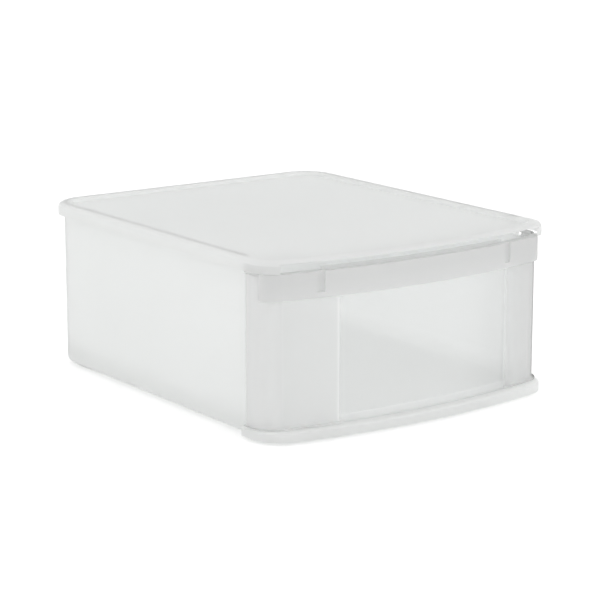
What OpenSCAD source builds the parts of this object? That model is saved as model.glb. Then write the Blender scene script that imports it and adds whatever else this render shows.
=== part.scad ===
// Stackable drawer box with a bowed front.
// Five pieces: case, lid, drawer tub, clear front panel and grip rail.
// Origin: centre of the footprint, on the surface the feet stand on.
// The front faces -Y, the right side +X and the lid +Z.

/* [Box] */
// Width over the lid's rim
box_w = 330; // [280:1:400]
// Depth from the apron's front edge to the back of the lid's rim
box_d = 404; // [340:1:460]
// Height from the feet to the top of the lid's rim
box_h = 165; // [130:1:220]
// Radius of the bow at the apron's front edge
bow_r = 718; // [600:1:1100]
// Height of the feet below the case's floor
foot_h = 2.5; // [1.5:0.1:3]

/* [Case] */
// How far each side wall stands in from the lid's rim
case_inset = 6; // [5.5:0.1:7]
// How far the back wall stands in from the lid's rim
case_rear_inset = 6; // [5.5:0.1:9]
// Thickness of the side and back walls
case_wall = 2.3; // [1.6:0.1:2.6]
// Thickness of the floor
case_floor = 2.5; // [1.5:0.1:3]
// Radius of the rear corners
case_corner_r = 30; // [26:1:42]
// Radius along the bottom edges
case_edge_r = 7; // [4:0.5:9]
// Distance from the apron's front edge back to the side walls' front edges
jamb_back = 60; // [57:1:75]
// Width of the thickened jamb behind each side wall's front edge
jamb_w = 12; // [8:1:18]
// Extra thickness of the jamb, inward
jamb_t = 1.2; // [0.8:0.1:1.3]
// Thickness of the flange along the top of the walls
flange_t = 3; // [2:0.1:4]

/* [Apron] */
// How far the apron stands in from the lid's rim at each side
apron_inset = 1; // [0.5:0.1:1.6]
// Height of the apron's face
apron_h = 8.7; // [7:0.1:11]
// Thickness of the apron's face and ledge
apron_t = 2.5; // [2:0.1:3]
// Front corner radius of the apron
apron_corner_r = 32; // [28:1:36]
// Rounding along the apron's top edge
apron_edge_r = 2; // [1:0.1:2]
// Distance between the ribs under the apron
apron_rib_pitch = 40; // [30:1:60]
// Thickness of the ribs under the apron
apron_rib_t = 1.8; // [1.2:0.1:2.5]

/* [Feet and runners] */
// Width of a stacking foot's bar
foot_w = 6; // [4:0.5:9]
// Length of each leg of a stacking foot
foot_len = 45; // [30:1:60]
// Gap between a foot and the rim of the lid it stacks on
stack_gap = 1.5; // [1:0.1:3]
// Distance between the two runners on the case's floor
runner_pitch = 200; // [120:1:230]
// Width of a runner
runner_w = 4; // [2:0.5:8]
// Distance from the back of the runners to the back wall
runner_rear = 20; // [12:1:40]

/* [Lid] */
// How far the lid's front edge stands behind the apron's front edge
lid_front_inset = 4; // [2:0.5:5]
// Wall thickness of the lid
lid_t = 2.5; // [2:0.1:3]
// Front corner radius of the lid
lid_corner_r = 27.5; // [25:0.5:34]
// Rear corner radius of the lid
lid_rear_r = 36; // [33:1:48]
// Width of the raised rim
rim_w = 14; // [12:0.5:20]
// Depth of the recessed panel below the rim
panel_depth = 3.5; // [3.2:0.1:5]
// Rounding of the rim's outer edge
rim_edge_r = 5; // [3:0.5:5.5]
// Rounding of the rim's inner edge
rim_inner_r = 2; // [1:0.1:2.4]
// Height of the skirt over all
skirt_h = 11.5; // [10:0.5:13]
// Height of the lip that is left of the front skirt above the grip rail
relief_lip = 0.3; // [0.2:0.1:3]
// Length of skirt left uncut at each end of the front
relief_end = 16; // [12:1:40]

/* [Drawer tub] */
// Gap between the tub and each side wall of the case
tub_side_gap = 2.2; // [2:0.1:3.5]
// Gap between the tub and the case's back wall
tub_rear_gap = 3.2; // [2:0.1:8]
// Thickness of the tub's walls and floor
tub_wall = 2.2; // [1.6:0.1:3]
// Radius of the tub's rear corners
tub_corner_r = 28; // [16:1:34]
// Radius along the tub's bottom edges
tub_edge_r = 17; // [6:0.5:20]
// Radius of the kerb where the floor meets the front panel
kerb_r = 4; // [2:0.5:12]
// Distance from the lid's underside down to the tub's top edge
tub_top_gap = 11; // [9:0.5:20]
// Height of the stop tabs
tab_h = 26; // [12:1:40]
// Length of a stop tab along the drawer
tab_len = 10; // [6:1:12]
// Gap between a stop tab and the case's side wall
tab_gap = 0.5; // [0.3:0.1:0.6]
// Distance from the front of a stop tab back to the start of the case's rear corner
tab_back = 15.7; // [10.5:0.1:60]

/* [Front panel] */
// How far the panel's face stands behind the apron's front edge
front_inset = 12; // [11:0.5:16]
// How far the panel's returns stand out past the case's side walls
front_out = 2; // [0:0.5:2]
// Thickness of the panel
front_t = 2.4; // [1.8:0.1:3]
// Radius of the panel's corners
front_corner_r = 22; // [20:0.5:26]
// Gap between the panel's returns and the case's jambs
front_gap = 3.5; // [1:0.5:5]
// Radius of the flare along the panel's foot
flare_r = 3; // [2:0.5:3]
// Thickness of the flare's edge
flare_edge = 0.8; // [0.5:0.1:1.5]

/* [Grip rail] */
// How far the rail stands proud of the panel
rail_proud = 3; // [2.5:0.1:3.5]
// Thickness of the rail's top and inner leg
rail_t = 2.2; // [1.5:0.1:2.4]
// Rounding along the rail's top edge
rail_edge_r = 1; // [0.5:0.1:1.5]
// Height of the rail's face
rail_h = 23.8; // [18:0.5:32]
// Depth of the rail's inner leg below its top
rail_leg = 12; // [6:0.5:16]
// Distance from the jambs forward to the rail's ends
rail_end = 23.5; // [18:0.5:28]
// Distance between the outer edges of the two slots
slot_span = 223; // [160:1:240]
// Width of a slot
slot_w = 8; // [4:0.5:14]
// Depth of a slot in the rail's face
slot_d = 2.2; // [0.6:0.1:2.2]
// Height of the rail's face left below a slot
slot_foot = 5; // [3:0.5:10]
// Height of the bead behind the grip
bead_h = 3; // [0.5:0.1:4]

/* [Clearances] */
// Running gap between the drawer and what lies under or over it
run_gap = 0.8; // [0.5:0.1:1.5]
// Gap between the drawer's floor and the runners
seat_gap = 0.2; // [0.1:0.05:0.3]
// Gap between the case's flange and the lid's skirt
lid_gap = 0.7; // [0.4:0.1:1]
// Gap between the drawer's own pieces
fit_gap = 0.1; // [0.05:0.05:0.2]
// Gap between the grip rail and the lid's skirt above it
rail_gap = 1.2; // [0.8:0.1:2]

/* [Hidden] */
$fn = 96;
bow_fn = 480;

front_y = -box_d / 2;
rear_y = box_d / 2;
bow_cy = front_y + bow_r;
base_z = foot_h;
jamb_y = front_y + jamb_back;
apron_top = base_z + apron_h;
tub_z = apron_top + run_gap;
rim_top = box_h;
rim_ceiling = rim_top - lid_t;
panel_top = rim_top - panel_depth;
panel_under = panel_top - lid_t;
flange_z = rim_top - rim_edge_r - lid_gap - flange_t;
skirt_z = rim_top - skirt_h;
case_half = box_w / 2 - case_inset;
case_inner = case_half - case_wall;
jamb_inner = case_inner - jamb_t;
tub_half = case_inner - tub_side_gap;
tub_rear = rear_y - case_rear_inset - case_wall - tub_rear_gap;
tub_top = panel_under - tub_top_gap;
rail_top = skirt_z - rail_gap;
rail_z = rail_top - rail_h;
kerb_strip = 0.6 * front_corner_r;
panel_h_top = rail_top - rail_t - fit_gap;
return_y = jamb_y - front_gap;

// An outline is [half width, front edge y, front corner radius, rear edge y, rear corner radius].
apron_line = [box_w / 2 - apron_inset, front_y, apron_corner_r, 0, 10];
lid_line = [box_w / 2, front_y + lid_front_inset, lid_corner_r, rear_y, lid_rear_r];
case_line = [case_half, front_y + front_inset, front_corner_r, rear_y - case_rear_inset, case_corner_r];
front_line = [case_half + front_out, front_y + front_inset, front_corner_r, 0, 10];
tub_line = [tub_half, front_y + front_inset, front_corner_r, tub_rear, tub_corner_r];

// Half angle of the bow, to a ten-thousandth of a degree so that every piece cut at it matches.
function bow_angle(p) = round(10000 * asin((p[0] - p[2]) / (bow_cy - p[1] - p[2]))) / 10000;
function corner_x(p) = (bow_cy - p[1] - p[2]) * sin(bow_angle(p));
function corner_y(p) = bow_cy - (bow_cy - p[1] - p[2]) * cos(bow_angle(p));

// Moves to a point in a coarse and a fine step, so that curves meet exactly.
module move_to(x, y) {
    coarse = [round(100 * x) / 100, round(100 * y) / 100];
    translate(coarse) translate([x, y] - coarse) children();
}

// Both sides of the box.
module both_sides() {
    children();
    mirror([1, 0, 0]) children();
}

// Moves to the centre of a front corner.
module front_corner(p) {
    move_to(corner_x(p), corner_y(p)) children();
}

// Moves to the centre of a rear corner.
module rear_corner(p) {
    move_to(corner_x(p) + p[2] - p[4], p[3] - p[4]) children();
}

// Bowed outline, drawn in by inset.
module outline(p, inset = 0) {
    slope = tan(bow_angle(p));
    near = bow_cy - corner_y(p) - p[2];
    far = bow_cy - p[1] + p[2];
    both_sides() {
        front_corner(p) circle(r = p[2] - inset);
        front_corner(p) translate([-p[0], 0]) square([p[0] + p[2] - inset, p[3] - p[4] - corner_y(p)]);
        rear_corner(p) circle(r = p[4] - inset);
        rear_corner(p)
            translate([-p[0], p[4] - p[3] + corner_y(p)]) square([p[0], p[3] - corner_y(p) - inset]);
    }
    intersection() {
        translate([0, bow_cy]) circle(r = bow_cy - p[1] - inset, $fn = bow_fn);
        polygon([
            [-near * slope, bow_cy - near],
            [near * slope, bow_cy - near],
            [far * slope, bow_cy - far],
            [-far * slope, bow_cy - far]
        ]);
    }
}

// Everything in front of a line across the box.
module ahead_of(y) {
    translate([-box_w, y - box_d]) square([2 * box_w, box_d]);
}

// Everything behind a line across the box.
module behind(y) {
    translate([-box_w, y]) square([2 * box_w, box_d]);
}

// Band between two insets of an outline.
module band(p, outer, inner) {
    difference() {
        outline(p, outer);
        outline(p, inner);
    }
}

// A section (x outward from the outline, y up) carried along the bow and its two corners.
module along_front(p) {
    both_sides() {
        translate([0, bow_cy])
            rotate([0, 0, -90])
                rotate_extrude(angle = bow_angle(p), $fn = bow_fn)
                    translate([bow_cy - p[1], 0]) children();
        front_corner(p)
            mirror([0, 1, 0])
                rotate_extrude(angle = 90 - bow_angle(p)) translate([p[2], 0]) children();
    }
}

// The same section along the sides, backward from the front corners.
module back_from_front(p, length) {
    both_sides()
        front_corner(p)
            translate([p[2], length]) rotate([90, 0, 0]) linear_extrude(length) children();
}

// The same section along the sides, forward from the rear corners.
module ahead_from_rear(p, length) {
    both_sides()
        rear_corner(p)
            translate([p[4], 0]) rotate([90, 0, 0]) linear_extrude(length) children();
}

// The same section round the two rear corners and along the back.
module along_rear(p) {
    both_sides()
        rear_corner(p) {
            rotate_extrude(angle = 90) translate([p[4], 0]) children();
            translate([-p[0], p[4]]) rotate([90, 0, 90]) linear_extrude(p[0]) children();
        }
}

// A block across the front, as wide as is given.
module front_block(w) {
    translate([-w / 2, front_y, 0]) cube([w, jamb_back, 2 * box_h]);
}

// Keeps what lies in front of a line across the box.
module cut_at(y) {
    intersection() {
        union() children();
        translate([-box_w, y - box_d, -box_h]) cube([2 * box_w, box_d, 3 * box_h]);
    }
}

// Quarter of a disc, out to the right and up from its centre.
module quarter(r) {
    intersection() {
        circle(r = r);
        square(r);
    }
}

// Section of an upright wall with a rounded bottom edge and a strip of floor, outer face at x = 0.
module wall_section(t, r, low, high) {
    translate([-t, low + r]) square([t, high - low - r]);
    translate([-r, low + r])
        mirror([0, 1])
            difference() {
                quarter(r);
                circle(r = r - t);
            }
    translate([-r - t, low]) square([t, t]);
}

// Section of the case's wall with its top flange.
module case_section() {
    wall_section(case_wall, case_edge_r, base_z, rim_ceiling);
    translate([-case_wall, flange_z]) square([case_wall + case_inset - lid_t - lid_gap, flange_t]);
}

// Floor, side walls and back wall of the case.
module case_shell() {
    ahead_from_rear(case_line, case_line[3] - case_corner_r - jamb_y) case_section();
    along_rear(case_line) case_section();
    translate([0, 0, base_z])
        linear_extrude(case_floor)
            intersection() {
                outline(case_line, case_edge_r + case_wall / 2);
                behind(jamb_y);
            }
}

// Thickened jambs behind the side walls' front edges.
module jambs() {
    both_sides()
        translate([jamb_inner, jamb_y, base_z + case_edge_r])
            cube([jamb_t + case_wall / 2, jamb_w, rim_ceiling - base_z - case_edge_r]);
}

// Section of the apron's face with its rounded top edge and a strip of ledge.
module apron_section() {
    translate([-apron_t, base_z]) square([apron_t, apron_h - apron_edge_r]);
    translate([-apron_edge_r, apron_top - apron_edge_r]) quarter(apron_edge_r);
    translate([-2 * apron_t, apron_top - apron_t]) square([2 * apron_t - apron_edge_r, apron_t]);
}

// Bowed ledge under the drawer front, open and ribbed below.
module apron() {
    cut_at(jamb_y) {
        along_front(apron_line) apron_section();
        back_from_front(apron_line, jamb_back) apron_section();
    }
    translate([0, 0, apron_top - apron_t])
        linear_extrude(apron_t)
            intersection() {
                outline(apron_line, 1.5 * apron_t);
                ahead_of(jamb_y);
            }
    translate([0, 0, base_z])
        linear_extrude(apron_h - apron_t)
            intersection() {
                outline(apron_line, apron_t / 2);
                translate([-box_w, jamb_y - apron_t]) square([2 * box_w, apron_t]);
            }
    apron_ribs();
}

// Ribs under the apron.
module apron_ribs() {
    count = floor((case_half - apron_corner_r) / apron_rib_pitch);
    translate([0, 0, base_z])
        linear_extrude(apron_h - apron_t)
            intersection() {
                outline(apron_line, apron_t / 2);
                ahead_of(jamb_y - apron_t / 2);
                for (i = [-count:count])
                    translate([i * apron_rib_pitch - apron_rib_t / 2, front_y])
                        square([apron_rib_t, jamb_back]);
            }
}

// Runners that carry the drawer.
module runners() {
    both_sides()
        translate([runner_pitch / 2 - runner_w / 2, jamb_y, base_z + case_floor / 2])
            cube([
                runner_w,
                case_line[3] - case_wall - runner_rear - jamb_y,
                tub_z - seat_gap - base_z - case_floor / 2
            ]);
}

// Angled feet at the four corners, which drop inside the rim of a lid below.
module feet() {
    foot_line = rim_w + stack_gap;
    x = box_w / 2 - foot_line - foot_len;
    rear = rear_y - foot_line - foot_len;
    for (front = [true, false])
        linear_extrude(front ? base_z + apron_h - apron_t / 2 : base_z + case_floor / 2)
            intersection() {
                band(lid_line, foot_line, foot_line + foot_w);
                both_sides() translate([x, front ? front_y : rear]) square([2 * foot_len, 1.4 * foot_len]);
                if (front) ahead_of(jamb_y - apron_t / 2);
            }
}

module case() {
    color("whitesmoke") {
        case_shell();
        jambs();
        apron();
        runners();
        feet();
    }
}

// Section of the lid's raised rim: skirt, rounded crest and inner leg round an open channel.
module rim_section() {
    translate([-lid_t, skirt_z]) square([lid_t, skirt_h - rim_edge_r]);
    translate([-rim_edge_r, rim_top - rim_edge_r])
        difference() {
            quarter(rim_edge_r);
            circle(r = rim_edge_r - lid_t);
        }
    translate([rim_inner_r - rim_w, rim_ceiling]) square([rim_w - rim_edge_r - rim_inner_r, lid_t]);
    translate([rim_inner_r - rim_w, rim_top - rim_inner_r]) mirror([1, 0]) quarter(rim_inner_r);
    translate([-rim_w, panel_under]) square([lid_t, rim_top - rim_inner_r - panel_under]);
    translate([-rim_w - lid_t, panel_under]) square([lid_t, lid_t]);
}

// The front skirt is cut back between its two ends, above the grip rail.
module skirt_relief() {
    low = skirt_z - lid_t;
    intersection() {
        along_front(lid_line)
            translate([-rim_edge_r - lid_t, low])
                square([rim_edge_r + 2 * lid_t, rim_ceiling - relief_lip - low]);
        front_block(box_w - 2 * relief_end);
    }
}

module lid() {
    side_run = ceil(0.52 * (lid_line[3] - lid_rear_r - corner_y(lid_line)));
    color("whitesmoke")
        difference() {
            union() {
                along_front(lid_line) rim_section();
                back_from_front(lid_line, side_run) rim_section();
                ahead_from_rear(lid_line, side_run) rim_section();
                along_rear(lid_line) rim_section();
                translate([0, 0, panel_under]) linear_extrude(lid_t) outline(lid_line, rim_w + lid_t / 2);
            }
            skirt_relief();
        }
}

// Section of the kerb where the tub's floor meets the front panel, with a strip of floor.
module kerb_section() {
    difference() {
        translate([-kerb_strip, tub_z]) square([kerb_strip, tub_wall + kerb_r]);
        translate([-kerb_r, tub_z + tub_wall + kerb_r]) circle(r = kerb_r);
        translate([-2 * kerb_strip, tub_z + tub_wall]) square([2 * kerb_strip - kerb_r, 2 * kerb_r]);
    }
}

// Stop tabs that meet the back of the jambs when the drawer is fully out.
module stop_tabs() {
    both_sides()
        translate([
            tub_half - tub_wall / 2,
            case_line[3] - case_corner_r - tab_back,
            tub_top - tab_h
        ])
            cube([tub_wall / 2 + tub_side_gap - tab_gap, tab_len, tab_h]);
}

// Upright flanges that seat the front panel's returns and close the tub's rounded bottom edges.
module panel_seats() {
    flange = front_line[0] - front_t - 2 * fit_gap - tub_half;
    centre_z = tub_z + tub_edge_r;
    both_sides()
        translate([tub_half, return_y, 0])
            rotate([90, 0, 0])
                linear_extrude(tub_wall)
                    difference() {
                        translate([-0.7 * tub_edge_r, tub_z + tub_wall / 2])
                            square([0.7 * tub_edge_r + flange, tub_top - tub_z - tub_wall / 2]);
                        translate([-tub_edge_r, centre_z]) circle(r = tub_edge_r - tub_wall / 2);
                        translate([-tub_edge_r, centre_z])
                            square([tub_edge_r - tub_wall / 2, tub_top - tub_z]);
                    }
}

module drawer_tub() {
    panel_back = front_t + fit_gap;
    floor_line = [
        front_line[0] - panel_back,
        front_line[1] + panel_back,
        front_corner_r - panel_back,
        0,
        10
    ];
    floor_half = floor_line[0] - front_corner_r / 2;
    color("ghostwhite") {
        ahead_from_rear(tub_line, tub_rear - tub_corner_r - return_y + tub_wall)
            wall_section(tub_wall, tub_edge_r, tub_z, tub_top);
        along_rear(tub_line) wall_section(tub_wall, tub_edge_r, tub_z, tub_top);
        translate([0, 0, tub_z])
            linear_extrude(tub_wall)
                intersection() {
                    outline(tub_line, tub_edge_r + tub_wall / 2);
                    behind(return_y - tub_wall);
                }
        cut_at(return_y) {
            along_front(floor_line) kerb_section();
            back_from_front(floor_line, jamb_back) kerb_section();
        }
        translate([0, 0, tub_z])
            linear_extrude(tub_wall)
                intersection() {
                    translate([0, bow_cy])
                        circle(r = bow_cy - floor_line[1] - front_corner_r / 2, $fn = bow_fn);
                    translate([-floor_half, front_y]) square([2 * floor_half, return_y - front_y]);
                }
        panel_seats();
        stop_tabs();
    }
}

// Section of the panel with the flare along its foot.
module panel_section() {
    translate([-front_t, tub_z]) square([front_t, panel_h_top - tub_z]);
    difference() {
        translate([-front_t / 2, tub_z]) square([front_t / 2 + flare_r, flare_edge + flare_r]);
        translate([flare_r, tub_z + flare_edge + flare_r]) circle(r = flare_r);
    }
}

module front_panel() {
    color([0.85, 0.9, 0.9, 0.5])
        cut_at(return_y) {
            along_front(front_line) panel_section();
            back_from_front(front_line, jamb_back) panel_section();
        }
}

// Section of the rail: face, top and inner leg clipped over the panel's top edge.
module rail_section() {
    leg = front_t + fit_gap;
    translate([fit_gap, rail_z]) square([rail_proud - fit_gap, rail_h - rail_edge_r]);
    translate([rail_proud - rail_edge_r, rail_top - rail_edge_r]) quarter(rail_edge_r);
    translate([-leg - rail_t, rail_top - rail_t])
        square([leg + rail_t + rail_proud - rail_edge_r, rail_t]);
    translate([-leg - rail_t, rail_top - rail_leg]) square([rail_t, rail_leg]);
}

// Bead that stands on the rail's inner leg.
module bead_section() {
    translate([-front_t - fit_gap - rail_t, rail_top - rail_t]) square([rail_t, rail_t + bead_h]);
}

// Both slots in the rail's face.
module slots() {
    intersection() {
        along_front(front_line)
            translate([rail_proud - slot_d, rail_z + slot_foot]) square([2 * slot_d, rail_h]);
        difference() {
            front_block(slot_span);
            front_block(slot_span - 2 * slot_w);
        }
    }
}

module grip_rail() {
    color("gainsboro")
        difference() {
            union() {
                cut_at(jamb_y - rail_end) along_front(front_line) rail_section();
                intersection() {
                    along_front(front_line) bead_section();
                    front_block(slot_span - 2 * slot_w);
                }
            }
            slots();
        }
}

case();
lid();
drawer_tub();
front_panel();
grip_rail();
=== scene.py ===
import math

import bmesh
import bpy
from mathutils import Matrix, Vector


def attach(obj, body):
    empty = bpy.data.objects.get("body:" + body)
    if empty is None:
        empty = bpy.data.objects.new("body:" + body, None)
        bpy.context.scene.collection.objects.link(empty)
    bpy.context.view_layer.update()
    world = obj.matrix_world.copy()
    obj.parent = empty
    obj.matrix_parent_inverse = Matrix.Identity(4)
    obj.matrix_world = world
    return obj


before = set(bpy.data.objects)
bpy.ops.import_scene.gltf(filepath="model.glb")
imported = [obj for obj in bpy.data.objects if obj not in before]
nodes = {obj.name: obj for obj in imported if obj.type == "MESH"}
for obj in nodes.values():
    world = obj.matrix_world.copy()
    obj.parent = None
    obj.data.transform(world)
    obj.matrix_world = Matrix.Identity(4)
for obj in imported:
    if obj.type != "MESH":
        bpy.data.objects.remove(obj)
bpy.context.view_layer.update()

# ---------------------------------------------------------------- camera
CAMERA_AT = (-1.2079, -1.6784, 0.5492)
AZIMUTH = math.radians(-35.8)
ELEVATION = math.radians(12.842)
LENS = 130.49
SENSOR_WIDTH = 36
CLIP_NEAR = 0.05
CLIP_FAR = 60


def make_camera():
    data = bpy.data.cameras.new("camera")
    data.lens = LENS
    data.sensor_width = SENSOR_WIDTH
    data.clip_start = CLIP_NEAR
    data.clip_end = CLIP_FAR
    camera = bpy.data.objects.new("camera", data)
    back = Vector((
        math.sin(AZIMUTH) * math.cos(ELEVATION),
        -math.cos(AZIMUTH) * math.cos(ELEVATION),
        math.sin(ELEVATION),
    ))
    camera.location = CAMERA_AT
    camera.rotation_mode = "QUATERNION"
    camera.rotation_quaternion = (-back).to_track_quat("-Z", "Y")
    bpy.context.collection.objects.link(camera)
    bpy.context.scene.camera = camera


# ---------------------------------------------------------------- node trees
# Where a Mix node keeps its colour sockets, and a Layer Weight node its second output.
MIX_SHARE = 0
MIX_FIRST = 6
MIX_SECOND = 7
MIX_RESULT = 2
FACING_OUTPUT = 1

WHITE = (1, 1, 1)


def opaque(colour):
    return (*colour, 1)


class Value:
    """A number socket that maths can be written on."""

    def __init__(self, tree, socket):
        self.tree = tree
        self.socket = socket

    def maths(self, operation, *values):
        return self.tree.node("ShaderNodeMath", {"operation": operation}, *values)

    def __add__(self, other):
        return self.maths("ADD", self, other)

    def __radd__(self, other):
        return self.maths("ADD", other, self)

    def __sub__(self, other):
        return self.maths("SUBTRACT", self, other)

    def __rsub__(self, other):
        return self.maths("SUBTRACT", other, self)

    def __mul__(self, other):
        return self.maths("MULTIPLY", self, other)

    def __rmul__(self, other):
        return self.maths("MULTIPLY", other, self)


class Tree:
    """The node tree of a material or of the room."""

    def __init__(self, owner):
        self.owner = owner
        owner.use_nodes = True
        self.nodes = owner.node_tree.nodes
        self.links = owner.node_tree.links
        self.nodes.clear()

    def node(self, kind, settings=None, *values, out=0, **sockets):
        """A node of any kind, with its settings, and with values or links in its sockets."""
        made = self.nodes.new(kind)
        for key, value in (settings or {}).items():
            setattr(made, key, value)
        for place, value in enumerate(values):
            self.put(made.inputs[place], value)
        for name, value in sockets.items():
            self.put(made.inputs[name.replace("_", " ")], value)
        return Value(self, made.outputs[out]) if made.outputs else None

    def mix(self, share, first, second):
        """One colour passing into another."""
        made = self.nodes.new("ShaderNodeMix")
        made.data_type = "RGBA"
        self.put(made.inputs[MIX_SHARE], share)
        for place, colour in ((MIX_FIRST, first), (MIX_SECOND, second)):
            self.put(made.inputs[place], colour if isinstance(colour, Value) else opaque(colour))
        return Value(self, made.outputs[MIX_RESULT])

    def put(self, socket, value):
        if isinstance(value, Value):
            self.links.new(value.socket, socket)
        else:
            socket.default_value = value

    def outputs(self, value):
        """All the outputs of the node that a value comes from."""
        return value.socket.node.outputs


# ---------------------------------------------------------------- plastics
# The slow drift of tone and roughness over a moulding.
CLOUD_SCALE = 14.0
CLOUD_DETAIL = 3.0
CLOUD_ROUGHNESS = 0.55
CLOUD_LOW = 0.3
CLOUD_HIGH = 0.7
CLOUD_MIDDLE = 0.5

# The fine skin of the mould, and the slow waves of a thin wall.
SKIN_SCALE = 900.0
SKIN_DETAIL = 2.0
WAVE_SCALE = 9.0
WAVE_DETAIL = 1.0
WAVE_SHARE = 6.0
SKIN_DEPTH = 0.0004

PLASTIC_IOR = 1.49
PLASTIC_SPECULAR = 0.25

# The clear sheet and the gloss over it.
WINDOW_COLOUR = (0.996, 0.998, 0.998)
GLOSS_ROUGH = 0.02
GLOSS_SPREAD = 0.02
GLOSS_SKIN = 0.01
MIRROR_STRAIGHT = 0.04
MIRROR_POWER = 5.0
FACING_BLEND = 0.5

TINGE = 0.003


def pale(level):
    """A pale grey with the least tinge of green."""
    return (level, level + TINGE, level)


def cool(level):
    """A pale grey with the least tinge of blue and green."""
    return (level, level + TINGE, level + TINGE)


def band(tree, along, start, stop):
    """Nought up to start, and one from stop on."""
    smooth = {"interpolation_type": "SMOOTHSTEP"}
    return tree.node("ShaderNodeMapRange", smooth, along, start, stop)


def moulded(tree, colour, dark, zones):
    """The moulding's colour, drifting slowly between two tones, with a painted tone of shade or
    highlight in each zone.
    """
    place = tree.node("ShaderNodeTexCoord", out="Object")
    cloud = tree.node(
        "ShaderNodeTexNoise", None,
        Vector=place, Scale=CLOUD_SCALE, Detail=CLOUD_DETAIL, Roughness=CLOUD_ROUGHNESS,
    )
    share = tree.node("ShaderNodeMapRange", None, Value=cloud, From_Min=CLOUD_LOW, From_Max=CLOUD_HIGH)
    tint = tree.mix(share, dark, colour)
    parts = tree.outputs(tree.node("ShaderNodeSeparateXYZ", None, place))
    # Each zone paints shade, or a highlight, into the colour along the object's own axes.
    for tone, limits in zones:
        share = 1.0
        for axis, start, stop in limits:
            share = band(tree, Value(tree, parts[axis]), start, stop) * share
        tint = tree.mix(share, tint, tone)
    return place, cloud, tint


def skin_bump(tree, place, strength):
    """Fine moulded skin with the slow waves of a thin wall."""
    fine = tree.node("ShaderNodeTexNoise", None, Vector=place, Scale=SKIN_SCALE, Detail=SKIN_DETAIL)
    waves = tree.node("ShaderNodeTexNoise", None, Vector=place, Scale=WAVE_SCALE, Detail=WAVE_DETAIL)
    height = fine + WAVE_SHARE * waves
    return tree.node("ShaderNodeBump", None, Strength=strength, Distance=SKIN_DEPTH, Height=height)


def milky(tree, colour, dark, rough, spread, through, skin, zones=()):
    """The shader of a moulded plastic that glows with the light behind it."""
    place, cloud, tint = moulded(tree, colour, dark, zones)
    bump = skin_bump(tree, place, skin)
    front = tree.node(
        "ShaderNodeBsdfPrincipled", None,
        Base_Color=tint, Roughness=rough + spread * (cloud - CLOUD_MIDDLE),
        Specular_IOR_Level=PLASTIC_SPECULAR, IOR=PLASTIC_IOR, Normal=bump,
    )
    behind = tree.node("ShaderNodeBsdfTranslucent", None, Color=opaque(colour), Normal=bump)
    return tree.node("ShaderNodeMixShader", None, through, front, behind)


def milky_plastic(name, **looks):
    tree = Tree(bpy.data.materials.new(name))
    tree.node("ShaderNodeOutputMaterial", None, Surface=milky(tree, **looks))
    return tree.owner


def clear_plastic(name, looks, haze, steps, ends, painted_edge_shade_colour, edge_turn):
    """A clear sheet with a faint haze, frosted in steps towards its two ends, and glossy all over.

    The edges of its ends, where the sheet turns away, get a dark painted shade.
    """
    tree = Tree(bpy.data.materials.new(name))
    place = tree.node("ShaderNodeTexCoord", out="Object")
    across = tree.node("ShaderNodeSeparateXYZ", None, place)
    for more, start, stop in steps:
        haze = haze + more * band(tree, across, start, stop)
    outwards = tree.node("ShaderNodeMath", {"operation": "ABSOLUTE"}, across)
    facing = tree.node("ShaderNodeLayerWeight", None, FACING_BLEND, out=FACING_OUTPUT)
    # Painted shade on the edges of the ends where the sheet turns away.
    painted_edge_shade = band(tree, outwards, *ends) * band(tree, facing, *edge_turn)

    window = tree.node("ShaderNodeBsdfTransparent", None, Color=opaque(WINDOW_COLOUR))
    body = tree.node("ShaderNodeMixShader", None, haze, window, milky(tree, **looks))
    # A dark translucent shader that paints the shade on those edges.
    dark = tree.node("ShaderNodeBsdfTranslucent", None, Color=opaque(painted_edge_shade_colour))
    body = tree.node("ShaderNodeMixShader", None, painted_edge_shade, body, dark)

    cloud = tree.node("ShaderNodeTexNoise", None, Vector=place, Scale=CLOUD_SCALE, Detail=CLOUD_DETAIL)
    gloss = tree.node(
        "ShaderNodeBsdfAnisotropic", None, Color=opaque(WHITE),
        Roughness=GLOSS_ROUGH + GLOSS_SPREAD * cloud, Normal=skin_bump(tree, place, GLOSS_SKIN),
    )
    slant = tree.node("ShaderNodeMath", {"operation": "POWER"}, facing, MIRROR_POWER)
    mirror = MIRROR_STRAIGHT + (1 - MIRROR_STRAIGHT) * (1 - painted_edge_shade) * slant
    both = tree.node("ShaderNodeMixShader", None, mirror, body, gloss)
    tree.node("ShaderNodeOutputMaterial", None, Surface=both)
    return tree.owner


def dress(piece, material):
    piece.data.materials.clear()
    piece.data.materials.append(material)


# ---------------------------------------------------------------- beads on the panel's returns
BEAD_CORNER = (0.139, -0.15373)
BEAD_INNER = 0.0199
BEAD_OUTER = 0.0217
BEAD_BACK = -0.1424
BEAD_ARC = math.radians(32)
BEAD_LOW = 0.1499
BEAD_HIGH = 0.1533
BEAD_STEPS = 10
BEAD_ROUND = 0.0004
BEAD_ROUND_STEPS = 2


def bead_ring(mesh, side, step):
    """The bead's section at one step of its arc, or, before step nought, at its straight back end."""
    turn = BEAD_ARC * max(step, 0) / BEAD_STEPS
    ring = []
    for radius, height in (
        (BEAD_INNER, BEAD_LOW),
        (BEAD_OUTER, BEAD_LOW),
        (BEAD_OUTER, BEAD_HIGH),
        (BEAD_INNER, BEAD_HIGH),
    ):
        x = BEAD_CORNER[0] + radius * math.cos(turn)
        y = BEAD_BACK if step < 0 else BEAD_CORNER[1] - radius * math.sin(turn)
        ring.append(mesh.verts.new((side * x, y, height)))
    return ring


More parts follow.
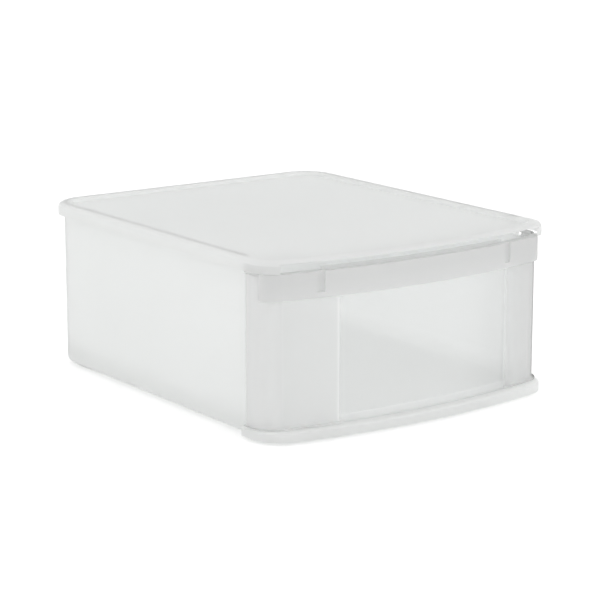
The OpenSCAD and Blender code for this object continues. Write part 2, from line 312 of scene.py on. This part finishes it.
def make_beads():
    """A low bead on the top edge of each return, which closes the gap under the lid's skirt."""
    mesh = bmesh.new()
    for side in (-1, 1):
        rings = [bead_ring(mesh, side, step) for step in range(-1, BEAD_STEPS + 1)]
        for first, second in zip(rings, rings[1:]):
            for corner in range(len(first)):
                after = (corner + 1) % len(first)
                mesh.faces.new((first[corner], first[after], second[after], second[corner]))
        mesh.faces.new(rings[0])
        mesh.faces.new(rings[-1])
    bmesh.ops.recalc_face_normals(mesh, faces=mesh.faces)
    data = bpy.data.meshes.new("panel_beads")
    mesh.to_mesh(data)
    mesh.free()
    beads = bpy.data.objects.new("panel_beads", data)
    bpy.context.collection.objects.link(beads)
    rounded = beads.modifiers.new("rounded", "BEVEL")
    rounded.width = BEAD_ROUND
    rounded.segments = BEAD_ROUND_STEPS
    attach(beads, "drawer")
    return beads


# ---------------------------------------------------------------- looks of each piece
# A zone's limits: an axis, where the tone starts, and where it is full. Each zone's tone is painted
# light or shade.
# Painted shade on the face of the case's apron, on all but its right end.
APRON_FACE_PAINTED_SHADE = (("Y", -0.165, -0.18), ("X", 0.15, 0.05), ("Z", 0.0108, 0.0095))
# Painted shade down the case's two rear corners.
REAR_LEFT_CORNER_PAINTED_SHADE = (("X", -0.148, -0.156), ("Y", 0.165, 0.185))
REAR_RIGHT_CORNER_PAINTED_SHADE = (("X", 0.148, 0.156), ("Y", 0.165, 0.185))
# Painted shade on the top of the lid's rim, deepening towards the front.
RIM_FRONT_PAINTED_SHADE = (("Y", -0.14, -0.2), ("Z", 0.160, 0.162))
# Painted highlight along the top of the lid's rear rim.
RIM_REAR_PAINTED_HIGHLIGHT = (("Y", 0.165, 0.185), ("Z", 0.1618, 0.1625))
# Painted shadow on the front left of the lid's skirt.
SKIRT_LEFT_CORNER_PAINTED_SHADOW = (("X", -0.1, -0.115), ("Y", -0.142, -0.156), ("Z", 0.1612, 0.1602))
# Painted shade on the tub's floor and the foot of its walls.
TUB_FLOOR_PAINTED_SHADE = (("Z", 0.024, 0.017),)
# Painted shade in the front panel's milky part: left of its left quarter, more towards its left end, and
# over its right part.
PANEL_LEFT_PAINTED_SHADE = (("X", -0.0885, -0.0905),)
PANEL_FAR_LEFT_PAINTED_SHADE = (("X", -0.12, -0.155),)
PANEL_RIGHT_PAINTED_SHADE = (("X", 0.04, 0.115),)

# How much the haze of the front panel grows at each step: by what, from where, to where across.
PANEL_HAZE = 0.22
PANEL_HAZE_STEPS = (
    (0.26, -0.0865, -0.0875),
    (0.25, -0.14, -0.162),
    (0.3, 0.1, 0.13),
    (0.25, 0.14, 0.162),
)
PANEL_ENDS = (0.14, 0.162)
PANEL_EDGE_TURN = (0.55, 0.75)

# The case: painted shade on its apron's face and down its rear corners.
dress(nodes["case"], milky_plastic(
    "milky_plastic",
    colour=pale(0.99), dark=pale(0.98), rough=0.36, spread=0.1, through=0.68, skin=0.03,
    zones=(
        (pale(0.87), APRON_FACE_PAINTED_SHADE),
        (pale(0.7), REAR_LEFT_CORNER_PAINTED_SHADE),
        (pale(0.7), REAR_RIGHT_CORNER_PAINTED_SHADE),
    ),
))
# The lid: painted shade on its front rim and front left skirt, and a painted highlight on its rear rim.
dress(nodes["lid"], milky_plastic(
    "lid_plastic",
    colour=pale(0.97), dark=pale(0.955), rough=0.36, spread=0.1, through=0.65, skin=0.03,
    zones=(
        (pale(0.8), RIM_FRONT_PAINTED_SHADE),
        (pale(0.995), RIM_REAR_PAINTED_HIGHLIGHT),
        (pale(0.74), SKIRT_LEFT_CORNER_PAINTED_SHADOW),
    ),
))
# The tub: painted shade on its floor.
dress(nodes["drawer_tub"], milky_plastic(
    "tub_plastic",
    colour=cool(0.995), dark=cool(0.985), rough=0.22, spread=0.06, through=0.5, skin=0.02,
    zones=((cool(0.93), TUB_FLOOR_PAINTED_SHADE),),
))
# The front panel: painted shade in its milky part towards its ends.
panel_plastic = clear_plastic(
    "clear_plastic",
    looks=dict(
        colour=pale(0.985), dark=pale(0.975), rough=0.3, spread=0.1, through=0.25, skin=0.02,
        zones=(
            (pale(0.87), PANEL_LEFT_PAINTED_SHADE),
            (pale(0.85), PANEL_FAR_LEFT_PAINTED_SHADE),
            (pale(0.76), PANEL_RIGHT_PAINTED_SHADE),
        ),
    ),
    haze=PANEL_HAZE, steps=PANEL_HAZE_STEPS, ends=PANEL_ENDS,
    painted_edge_shade_colour=pale(0.4), edge_turn=PANEL_EDGE_TURN,
)
dress(nodes["front_panel"], panel_plastic)
dress(make_beads(), panel_plastic)
dress(nodes["grip_rail"], milky_plastic(
    "frosted_plastic",
    colour=pale(0.89), dark=pale(0.875), rough=0.4, spread=0.1, through=0.5, skin=0.05,
))


# ---------------------------------------------------------------- floor and light
FLOOR_HALF = 6.0
FLOOR_COLOUR = (0.95, 0.95, 0.95)
FLOOR_ROUGH = 0.9
FLOOR_LIFT = 0.2

# The room's light from each side.
ROOM_LEFT = 1.0
ROOM_RIGHT = 1.15
ROOM_FRONT = 1.15
ROOM_BACK = 1.05
ROOM_TOP = 0.95
SIDE_BLEND = 0.1

# The tall panel that is seen in the gloss alone: how much brighter it is, and the angles it spans.
GLOSS_PANEL_MORE = 0.3
GLOSS_PANEL_EDGE = math.radians(22.3)
GLOSS_PANEL_WIDTH = math.radians(60)
GLOSS_PANEL_BLEND = 0.004


def seen_directly(tree):
    """One for what is seen straight, in a gloss or through glass, and nought for scattered light."""
    rays = tree.outputs(tree.node("ShaderNodeLightPath"))
    camera, glossy, through, scattered = (
        Value(tree, rays["Is %s Ray" % kind]) for kind in ("Camera", "Glossy", "Transmission", "Diffuse")
    )
    any_of = tree.node("ShaderNodeMath", {"operation": "MINIMUM"}, camera + glossy + through, 1.0)
    return any_of * (1 - scattered)


def make_floor():
    half = FLOOR_HALF
    corners = [(-half, -half, 0), (half, -half, 0), (half, half, 0), (-half, half, 0)]
    mesh = bpy.data.meshes.new("floor")
    mesh.from_pydata(corners, [], [(0, 1, 2, 3)])
    floor = bpy.data.objects.new("floor", mesh)
    bpy.context.collection.objects.link(floor)
    floor.visible_glossy = False
    tree = Tree(bpy.data.materials.new("floor"))
    shader = tree.node(
        "ShaderNodeBsdfPrincipled", None,
        Base_Color=opaque(FLOOR_COLOUR), Roughness=FLOOR_ROUGH,
        Emission_Color=opaque(WHITE), Emission_Strength=FLOOR_LIFT * seen_directly(tree),
    )
    tree.node("ShaderNodeOutputMaterial", None, Surface=shader)
    mesh.materials.append(tree.owner)


def make_world():
    """A plain white room that is a little brighter from some sides."""
    tree = Tree(bpy.data.worlds.new("room"))
    direct = seen_directly(tree)
    rays = tree.outputs(tree.node("ShaderNodeLightPath"))
    glossy = Value(tree, rays["Is Glossy Ray"])
    way = tree.node("ShaderNodeTexCoord", out="Generated")
    parts = tree.outputs(tree.node("ShaderNodeSeparateXYZ", None, way))
    x, y, z = (Value(tree, parts[name]) for name in "XYZ")

    def sides(along, below, above):
        is_above = tree.node("ShaderNodeMapRange", None, along, -SIDE_BLEND, SIDE_BLEND)
        return along * along * (below + (above - below) * is_above)

    def right_of(angle):
        inward = math.cos(angle) * x + math.sin(angle) * y
        return tree.node("ShaderNodeMapRange", None, inward, -GLOSS_PANEL_BLEND, GLOSS_PANEL_BLEND)

    light = sides(x, ROOM_LEFT, ROOM_RIGHT) + sides(y, ROOM_FRONT, ROOM_BACK) + z * z * ROOM_TOP
    panel = right_of(GLOSS_PANEL_EDGE) * (1 - right_of(GLOSS_PANEL_EDGE + GLOSS_PANEL_WIDTH))
    strength = light * (1 - direct) + direct + GLOSS_PANEL_MORE * panel * glossy
    background = tree.node("ShaderNodeBackground", None, Color=opaque(WHITE), Strength=strength)
    tree.node("ShaderNodeOutputWorld", None, Surface=background)
    bpy.context.scene.world = tree.owner


make_camera()
make_floor()
make_world()

bpy.context.scene.view_settings.view_transform = "Standard"

# Light passes many thin milky walls before it comes out again.
ALL_BOUNCES = 32
DIFFUSE_BOUNCES = 16
TRANSMISSION_BOUNCES = 24
bounces = bpy.context.scene.cycles
bounces.max_bounces = ALL_BOUNCES
bounces.diffuse_bounces = DIFFUSE_BOUNCES
bounces.transmission_bounces = TRANSMISSION_BOUNCES
